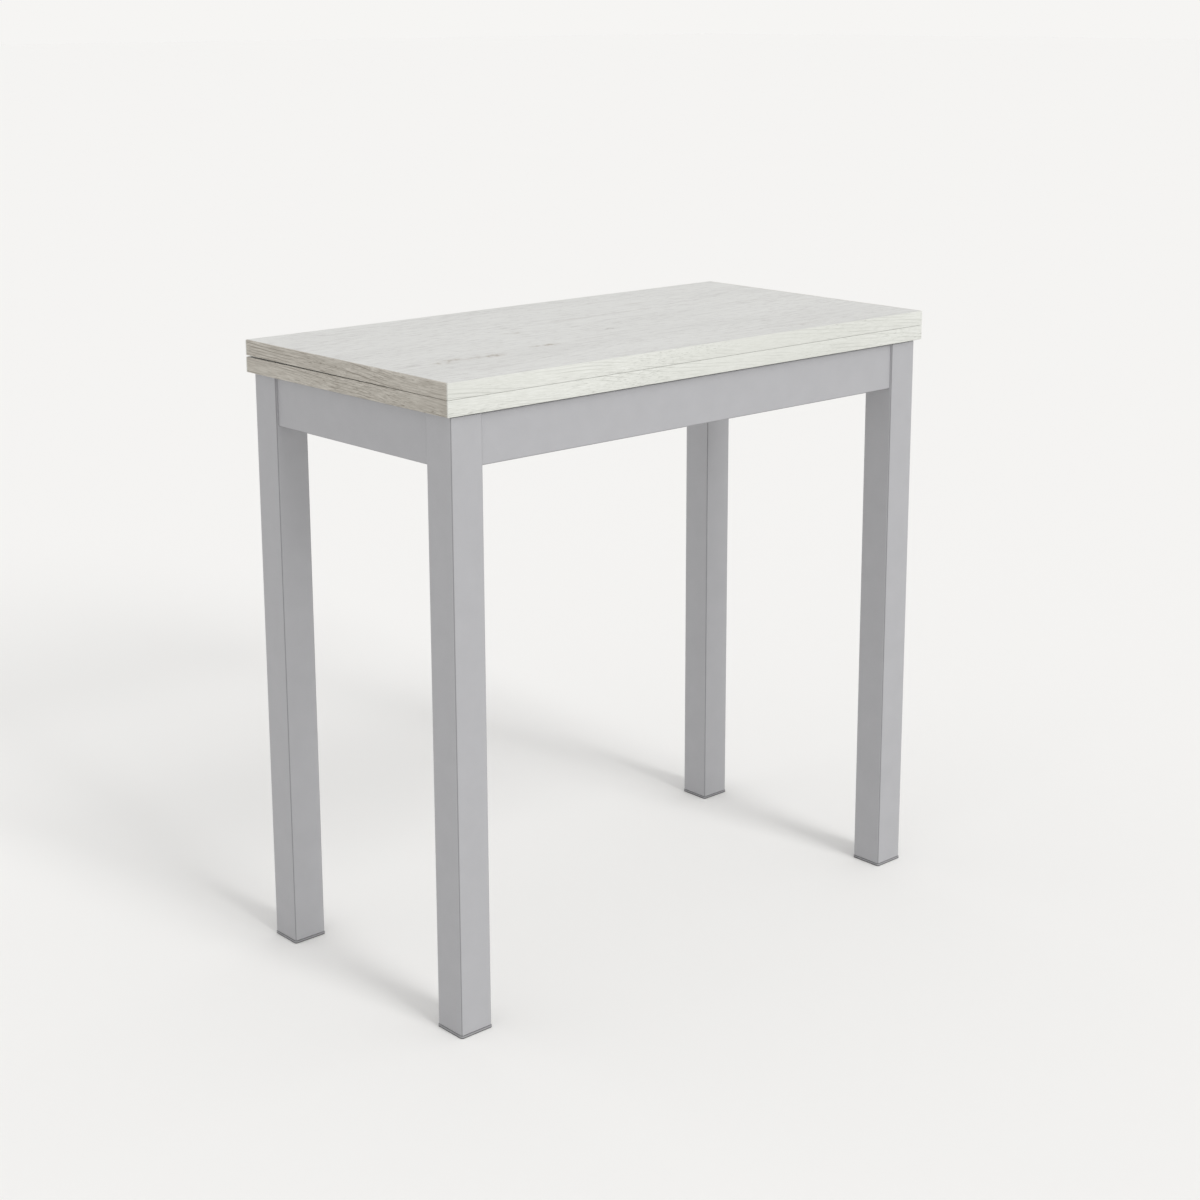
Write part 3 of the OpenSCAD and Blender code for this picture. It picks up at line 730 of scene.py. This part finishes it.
def material_of(name):
    """The material with that finish, made the first time that a piece asks for it."""
    if name in MATERIALS:
        return MATERIALS[name]
    colours = bpy.context.scene.table_colours
    lower_middle = (LOWER_LOW + LOWER_HIGH) / 2
    upper_middle = LEAN @ ((UPPER_LOW + UPPER_HIGH) / 2)
    makers = {
        "silver_paint": (silver_paint, dict(colours=colours)),
        "foot_plastic": (
            moulded_plastic, dict(colour=colours.foot_plastic, roughness=0.46, painted_floor_shade=0.70)
        ),
        "glide_plastic": (moulded_plastic, dict(colour=colours.glide_plastic, roughness=0.40)),
        "bush_plastic": (moulded_plastic, dict(colour=colours.bush_plastic, roughness=0.42)),
        "zinc_steel": (zinc_steel, dict(colour=colours.zinc, brushed=False)),
        "hinge_steel": (zinc_steel, dict(colour=colours.hinge_zinc, brushed=True)),
        "upper_laminate": (laminate, dict(colours=colours, middle=upper_middle, sag=SAG, marks=MARKS)),
        "lower_laminate": (laminate, dict(colours=colours, middle=lower_middle, sag=0.0, marks=())),
        "long_edging": (edging, dict(
            base=colours.long_edging, shade=colours.long_shade, line=colours.long_line,
            across=False, slant=0.06, contrast=0.80, figure=0.45,
        )),
        "end_edging": (edging, dict(
            base=colours.end_edging, shade=colours.end_shade, line=colours.end_line,
            across=True, slant=0.04, contrast=0.95, figure=0.85,
        )),
    }
    maker, values = makers[name]
    finish = Finish(name + "_finish")
    maker(finish, **values)
    MATERIALS[name] = finish.material
    return finish.material


# Operators


class TABLE_OT_paint_frame(bpy.types.Operator):
    """Paint the legs, the rails and the cross-member"""

    bl_idname = "table.paint_frame"
    bl_label = "Paint the Frame"

    def execute(self, context):
        nodes = ["leg_" + leg for leg in LEGS]
        nodes += ["front_rail", "back_rail", "left_rail", "right_rail", "cross_member"]
        dress("silver_paint", *nodes)
        return {"FINISHED"}


class TABLE_OT_weld_seams(bpy.types.Operator):
    """Lay the weld beads in the frame's inner corners"""

    bl_idname = "table.weld_seams"
    bl_label = "Lay the Weld Seams"

    def bead(self, bm, start, end, sizes):
        """A rippled bead on the line between two points, thinner at its ends."""
        levels, dip, end_share = 4, 0.12, 0.6
        span = end - start
        steps = round(span.length / sizes.weld_ripple) * levels
        profile = [(0, 0)]
        for step in range(steps + 1):
            ripple = 1 - dip * (1 - abs(math.sin(math.pi * step / levels)))
            taper = end_share if step in (0, steps) else 1
            profile.append((sizes.weld_radius * ripple * taper, span.length * step / steps))
        profile.append((0, span.length))
        turn = UP.rotation_difference(span).to_matrix().to_4x4()
        add_part(bm, lathe(profile, steps=12, closed=False), Matrix.Translation(start) @ turn)

    def execute(self, context):
        sizes = context.scene.table_sizes
        bm = bmesh.new()
        margin = 2 * MM
        rail_low, rail_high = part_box("back_rail")
        end_low, end_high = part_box("right_rail")
        bottom, top = rail_low.z + margin, rail_high.z - margin
        for x in (-1, 1):
            for y in (-1, 1):
                for inner_x, inner_y in ((rail_high.x, rail_low.y), (end_low.x, end_high.y)):
                    corner = Vector((x * inner_x, y * inner_y, 0))
                    self.bead(bm, corner + UP * bottom, corner + UP * top, sizes)
        beam_low, beam_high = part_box("cross_member")
        for y in (beam_low.y, beam_high.y):
            start = Vector((beam_low.x + margin, y, beam_low.z))
            end = Vector((beam_high.x - margin, y, beam_low.z))
            self.bead(bm, start, end, sizes)
            for x in (beam_low.x, beam_high.x):
                start = Vector((x, y, beam_low.z + margin))
                end = Vector((x, y, beam_high.z - margin))
                self.bead(bm, start, end, sizes)
        finish_piece("weld_seams", bm, "frame", "silver_paint")
        return {"FINISHED"}


class TABLE_OT_foot_caps(bpy.types.Operator):
    """Fit the moulded foot caps under the legs"""

    bl_idname = "table.foot_caps"
    bl_label = "Fit the Foot Caps"

    def square(self, bm, width, bottom, top, radius, rim=0.0, base=0.0):
        """A square block with round corners, and with a rounded rim and base where they have a size."""
        half = width / 2
        piece = block((-half, -half, bottom), (half, half, top))
        upright = [e for e in piece.edges if abs(direction_of(e).z) > 0.9]
        round_edges(piece, upright, radius, segments=6)
        for size, level in ((rim, top), (base, bottom)):
            if size:
                flat = [e for e in piece.edges if all(abs(v.co.z - level) < TINY for v in e.verts)]
                round_edges(piece, flat, size)
        add_part(bm, piece)

    def execute(self, context):
        sizes = context.scene.table_sizes
        for leg in LEGS:
            low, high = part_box("foot_" + leg)
            leg_low, leg_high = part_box("leg_" + leg)
            width, leg_width = high.x - low.x, leg_high.x - leg_low.x
            shoulder = leg_low.z
            bm = bmesh.new()

            rim_top = shoulder - sizes.groove_height
            corner = LEG_CORNER + (width - leg_width) / 2
            self.square(bm, width, 0, rim_top, corner, sizes.foot_round, sizes.foot_chamfer)
            neck, neck_corner = leg_width - 2 * sizes.groove_depth, 2 * MM
            self.square(bm, neck, rim_top, shoulder, neck_corner)

            plug, plug_corner = leg_width - 2 * (LEG_WALL + PLUG_FIT), 1 * MM
            self.square(bm, plug - 2 * RIB_DEPTH, shoulder, high.z, plug_corner, rim=0.6 * MM)
            rib_step, rib_round = (high.z - shoulder) / (RIB_COUNT + 0.5), 0.3 * MM
            for rib in range(1, RIB_COUNT + 1):
                level = shoulder + rib * rib_step
                self.square(bm, plug, level, level + RIB_THICKNESS, plug_corner, rib_round, rib_round)

            centre = (low + high) / 2
            place = Matrix.Translation((centre.x, centre.y, 0))
            finish_piece("foot_cap_" + leg, bm, "frame", "foot_plastic", ["foot_" + leg], place)
        return {"FINISHED"}


class TABLE_OT_plastics(bpy.types.Operator):
    """Finish the glides in the leg tops and the swivel's bushes"""

    bl_idname = "table.plastics"
    bl_label = "Finish the Glides and Bushes"

    def execute(self, context):
        dress("glide_plastic", "top_glides")
        dress("bush_plastic", "upper_bush", "lower_bush")
        return {"FINISHED"}


class TABLE_OT_board_faces(bpy.types.Operator):
    """Face the two boards with oak laminate"""

    bl_idname = "table.board_faces"
    bl_label = "Face the Boards"

    def execute(self, context):
        dress("upper_laminate", "upper_leaf")
        dress("lower_laminate", "lower_leaf")
        return {"FINISHED"}


class TABLE_OT_edging_strips(bpy.types.Operator):
    """Glue the edging strips round both boards"""

    bl_idname = "table.edging_strips"
    bl_label = "Glue the Edging Strips"

    def notch(self, piece, hinge_nodes, face, inward):
        """Cuts the hinges' notches out of a back strip, from the inner face of its board."""
        cutter = bmesh.new()
        depth = 2 * PIN_DEPTH + POCKET_PLAY
        lowest, highest = sorted((face - inward * MM, face + inward * depth))
        front, back = LOWER_HIGH.y - EDGING - MM, LOWER_HIGH.y + MM
        for node in hinge_nodes:
            low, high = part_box(node)
            left, right = low.x - POCKET_PLAY, high.x + POCKET_PLAY
            block((left, front, lowest), (right, back, highest), cutter)
        mesh = mesh_of(cutter, "notch")
        tool = add_object("notch", mesh)
        change = piece.modifiers.new("notch", "BOOLEAN")
        change.operation = "DIFFERENCE"
        change.solver = "EXACT"
        change.object = tool
        with bpy.context.temp_override(object=piece, active_object=piece, selected_objects=[piece]):
            bpy.ops.object.modifier_apply(modifier=change.name)
        bpy.data.objects.remove(tool)
        bpy.data.meshes.remove(mesh)

    def strip(self, low, high, side, sizes):
        """The part of a rounded board that one strip takes, side being front, back, left or right."""
        bm = block(low, high)
        round_edges(bm, bm.edges[:], sizes.edging_radius)
        inner_low, inner_high = low + EDGING_STEP, high - EDGING_STEP
        x, y = Vector((1, 0, 0)), Vector((0, 1, 0))
        joint, direction = {
            "front": (inner_low, y),
            "back": (inner_high, -y),
            "left": (inner_low, x),
            "right": (inner_high, -x),
        }[side]
        cut_faces = cut_away(bm, joint, direction)
        rim = [e for face in cut_faces for e in face.edges if abs(direction_of(e).z) < 0.1]
        visible = [e for e in rim if any(abs(e.verts[0].co.z - z) < TINY for z in (low.z, high.z))]
        round_edges(bm, visible, sizes.joint_line, segments=1)
        if side in ("left", "right"):
            cut_away(bm, inner_low, -y)
            cut_away(bm, inner_high, y)
        return bm

    def execute(self, context):
        sizes = context.scene.table_sizes
        boards = (
            ("lower", "top", LOWER_LOW, LOWER_HIGH, None, LOWER_HIGH.z, -1),
            ("upper", "upper_board", UPPER_LOW, UPPER_HIGH, LEAN, UPPER_LOW.z, 1),
        )
        for board, body, low, high, lean, face, inward in boards:
            hinges = [f"{side}_hinge_{board}_plate" for side in ("left", "right")]
            for side in ("front", "back", "left", "right"):
                finish = "long_edging" if side in ("front", "back") else "end_edging"
                piece = finish_piece(
                    f"{board}_{side}_edging_strip", self.strip(low, high, side, sizes), body,
                    finish, [f"{board}_{side}_edging"],
                )
                if side == "back":
                    self.notch(piece, hinges, face, inward)
                if lean is not None:
                    piece.data.transform(lean)
        return {"FINISHED"}


class TABLE_OT_hinges(bpy.types.Operator):
    """Finish the flap hinges, their pins, links and screws"""

    bl_idname = "table.hinges"
    bl_label = "Finish the Hinges"

    def execute(self, context):
        for side in ("left", "right"):
            for part in ("lower_plate", "upper_plate", "link"):
                dress("hinge_steel", f"{side}_hinge_{part}")
            for part in ("lower_pin", "upper_pin"):
                dress("zinc_steel", f"{side}_hinge_{part}")
        dress("zinc_steel", "lower_hinge_screws", "upper_hinge_screws")
        return {"FINISHED"}


class TABLE_OT_swivel(bpy.types.Operator):
    """Turn the pivot bolt, its nut and washers, and finish the pivot plate"""

    bl_idname = "table.swivel"
    bl_label = "Make the Swivel Hardware"

    collar_wall = 0.5 * MM

    def bolt(self, sizes):
        """A cup-head bolt with a square neck in the pivot plate and a thread below."""
        low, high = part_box("pivot_bolt")
        plate_low, plate_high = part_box("pivot_plate")
        head = (high.x - low.x) / 2
        rise = high.z - plate_high.z
        dome = (head ** 2 + rise ** 2) / (2 * rise)
        dome_centre = plate_high.z + rise - dome
        arc_steps = 8
        arc = []
        for step in range(arc_steps, 0, -1):
            radius = head * step / arc_steps
            arc.append((radius, dome_centre + math.sqrt(dome ** 2 - radius ** 2)))
        root = BOLT_RADIUS - sizes.thread_depth
        thread_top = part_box("lock_nut")[0].z + COLLAR_HEIGHT
        tip, head_edge, neck_drop = 0.6 * MM, 0.4 * MM, 0.1 * MM
        profile = [
            (0, low.z), (root - tip, low.z), (root, low.z + tip), (root, thread_top),
            (BOLT_RADIUS, thread_top), (BOLT_RADIUS, plate_high.z), (head - head_edge, plate_high.z),
        ]
        bm = lathe(profile + arc + [(0, high.z)], closed=False)
        add_part(bm, self.thread(sizes, low.z, thread_top, root))
        neck_low = (-BOLT_RADIUS, -BOLT_RADIUS, plate_low.z)
        neck_high = (BOLT_RADIUS, BOLT_RADIUS, plate_high.z - neck_drop)
        add_part(bm, block(neck_low, neck_high))
        return bm

    def thread(self, sizes, bottom, top, root):
        """The thread's ridge, wound up the bolt's root."""
        steps_a_turn = 24
        plain_turns = 0.9
        steps = round(((top - bottom) / sizes.thread_pitch - plain_turns) * steps_a_turn)
        crest, slope = 0.12 * sizes.thread_pitch, 0.40 * sizes.thread_pitch
        start = bottom + 0.3 * MM
        inner = root - 0.02 * MM
        profile = [
            (inner, start), (BOLT_RADIUS, start + slope),
            (BOLT_RADIUS, start + slope + crest), (inner, start + 2 * slope + crest),
        ]
        turn, rise = math.tau / steps_a_turn, sizes.thread_pitch / steps_a_turn
        return wind(profile, steps, turn, rise)

    def nut(self):
        """A chamfered hexagon nut on a round collar that holds its plastic ring."""
        low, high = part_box("lock_nut")
        corner = NUT_FLATS / math.sqrt(3)
        chamfer, chamfer_slope = 0.9 * MM, 0.58
        fall = chamfer * chamfer_slope
        bore, mouth = BOLT_RADIUS + THREAD_FIT, 0.6 * MM
        hollow = COLLAR_RADIUS - self.collar_wall
        shoulder = low.z + COLLAR_HEIGHT
        ceiling = shoulder + 0.2 * MM
        profile = [
            (bore, ceiling), (hollow, ceiling), (hollow, low.z + 0.4 * MM),
            (COLLAR_RADIUS - 0.1 * MM, low.z), (COLLAR_RADIUS, low.z + 0.6 * MM),
            (COLLAR_RADIUS, shoulder), (corner - chamfer, shoulder), (corner, shoulder + fall),
            (corner, high.z - fall), (corner - chamfer, high.z),
            (bore + mouth, high.z), (bore, high.z - mouth),
        ]
        bm = lathe(profile, steps=72)
        for side in range(6):
            facing = math.radians(60 * side + 30)
            direction = Vector((math.cos(facing), math.sin(facing), 0))
            cut_away(bm, direction * NUT_FLATS / 2, direction)
        return bm

    def nut_ring(self):
        """The plastic ring inside the nut's collar that grips the bolt."""
        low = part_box("lock_nut")[0]
        play = 0.05 * MM
        inner, outer = BOLT_RADIUS + play, COLLAR_RADIUS - self.collar_wall - play
        bottom, top = low.z + 0.5 * MM, low.z + 2.1 * MM
        return lathe([(inner, bottom), (outer, bottom), (outer, top), (inner, top)])

    def flat_washer(self):
        """A washer with its outer edges chamfered."""
        low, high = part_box("flat_washer")
        outer = (high.x - low.x) / 2
        chamfer = 0.3 * MM
        profile = [
            (WASHER_BORE, low.z), (outer - chamfer, low.z), (outer, low.z + chamfer),
            (outer, high.z - chamfer), (outer - chamfer, high.z), (WASHER_BORE, high.z),
        ]
        return lathe(profile, steps=64)

    def split_washer(self):
        """A spring washer, cut through and wound up a little from one end to the other."""
        low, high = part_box("spring_washer")
        lift, gap = 0.3 * MM, math.radians(16)
        steps = 46
        profile = [
            (WASHER_BORE, low.z), (SPRING_RADIUS, low.z),
            (SPRING_RADIUS, high.z - lift), (WASHER_BORE, high.z - lift),
        ]
        return wind(profile, steps, (math.tau - gap) / steps, lift / steps, SPRING_TURN + gap / 2)

    def execute(self, context):
        pivot = JOINTS["top_swivel"]["pos_m"]
        at_pivot = Matrix.Translation((pivot[0], pivot[1], 0))
        for name, bm, finish, replaced in (
            ("threaded_bolt", self.bolt(context.scene.table_sizes), "zinc_steel", ["pivot_bolt"]),
            ("chamfered_nut", self.nut(), "zinc_steel", ["lock_nut"]),
            ("nut_ring", self.nut_ring(), "bush_plastic", []),
            ("rounded_washer", self.flat_washer(), "zinc_steel", ["flat_washer"]),
            ("split_washer", self.split_washer(), "zinc_steel", ["spring_washer"]),
        ):
            finish_piece(name, bm, "top", finish, replaced, at_pivot)
        dress("zinc_steel", "pivot_plate", "pivot_plate_screws", "stop_peg")
        return {"FINISHED"}


class TABLE_OT_stage(bpy.types.Operator):
    """Lay the floor, and set the lights and the camera"""

    bl_idname = "table.stage"
    bl_label = "Set the Stage"

    def floor(self, stage):
        """A matt floor that reaches far beyond the table."""
        reach = 60
        bm = bmesh.new()
        bmesh.ops.create_grid(bm, x_segments=4, y_segments=4, size=reach)
        mesh = bpy.data.meshes.new("floor")
        bm.to_mesh(mesh)
        bm.free()
        finish = Finish("floor_finish")
        tree = finish.tree
        drift = noise(tree, finish.place, scale=1.2)
        finish.feed("Base Color", finish.tint(stage.floor, finish.swing(1.0, 0.004, drift)))
        finish.fix(Roughness=1.0, Specular_IOR_Level=0.0)
        mesh.materials.append(finish.material)
        add_object("floor", mesh)

    def world(self, scene, stage):
        """Soft light all round, a little stronger from the left and weaker from above, and a backdrop."""
        scene.world = bpy.data.worlds.new("studio")
        scene.world.use_nodes = True
        tree = scene.world.node_tree
        tree.nodes.clear()
        path = tree.nodes.new("ShaderNodeLightPath")
        seen = maths(tree, "MAXIMUM", path.outputs["Is Camera Ray"], path.outputs["Is Glossy Ray"])
        seen = maths(tree, "MAXIMUM", seen, path.outputs["Is Transmission Ray"])
        axes = axes_of(tree, add_node(tree, "ShaderNodeTexCoord").outputs["Generated"])
        level = maths(tree, "MULTIPLY_ADD", axes["X"], -stage.left_gain, 1.0)
        level = maths(tree, "MULTIPLY_ADD", axes["Z"], -stage.zenith_loss, level)
        level = times(tree, level, stage.ambient)
        light = add_node(tree, "ShaderNodeBackground", {"Color": (1, 1, 1), "Strength": level})
        shown = add_node(tree, "ShaderNodeBackground", {"Color": stage.backdrop, "Strength": 1.0})
        both = add_node(tree, "ShaderNodeMixShader", {0: seen, 1: light.outputs[0], 2: shown.outputs[0]})
        add_node(tree, "ShaderNodeOutputWorld", {"Surface": both.outputs[0]})

    def execute(self, context):
        scene = context.scene
        stage = scene.table_stage
        self.floor(stage)
        self.world(scene, stage)
        for name, strength, height in (
            ("key_light", stage.key, stage.key_height),
            ("upper_light", stage.upper, stage.upper_height),
        ):
            lamp = bpy.data.lights.new(name, "SUN")
            lamp.energy = strength
            lamp.angle = stage.lamp_width
            holder = add_object(name, lamp)
            holder.rotation_euler = (math.pi / 2 - height, 0, stage.lamp_turn)
        lens = bpy.data.cameras.new("camera")
        lens.sensor_fit = "HORIZONTAL"
        lens.sensor_width = 36
        lens.lens = stage.lens
        lens.shift_y = stage.shift
        lens.clip_start, lens.clip_end = 0.05, 200
        eye = add_object("camera", lens)
        eye.location = stage.eye
        eye.rotation_euler = stage.turn
        scene.camera = eye
        scene.view_settings.view_transform = "Standard"
        return {"FINISHED"}


class TABLE_PT_panel(bpy.types.Panel):
    """Lists the table's operators, sizes and colours"""

    bl_label = "Extending Table"
    bl_idname = "TABLE_PT_panel"
    bl_space_type = "VIEW_3D"
    bl_region_type = "UI"
    bl_category = "Table"

    def draw(self, context):
        for step in STEPS:
            self.layout.operator(step.bl_idname)
        for group in ("table_sizes", "table_colours", "table_stage"):
            values = getattr(context.scene, group)
            box = self.layout.box()
            for name in values.__annotations__:
                box.prop(values, name)


STEPS = (
    TABLE_OT_paint_frame, TABLE_OT_weld_seams, TABLE_OT_foot_caps, TABLE_OT_plastics,
    TABLE_OT_board_faces, TABLE_OT_edging_strips, TABLE_OT_hinges, TABLE_OT_swivel, TABLE_OT_stage,
)
SETTINGS = (TableSizes, TableColours, TableStage)


def register():
    """Adds the classes and the table's properties to Blender."""
    for cls in SETTINGS + STEPS + (TABLE_PT_panel,):
        bpy.utils.register_class(cls)
    bpy.types.Scene.table_sizes = PointerProperty(type=TableSizes)
    bpy.types.Scene.table_colours = PointerProperty(type=TableColours)
    bpy.types.Scene.table_stage = PointerProperty(type=TableStage)


def unregister():
    """Takes them out again, in the other order."""
    del bpy.types.Scene.table_stage
    del bpy.types.Scene.table_colours
    del bpy.types.Scene.table_sizes
    for cls in reversed(SETTINGS + STEPS + (TABLE_PT_panel,)):
        bpy.utils.unregister_class(cls)


def main():
    """Makes the pieces and the stage in order."""
    register()
    for step in STEPS:
        family, name = step.bl_idname.split(".")
        getattr(getattr(bpy.ops, family), name)()


if __name__ == "__main__":
    main()
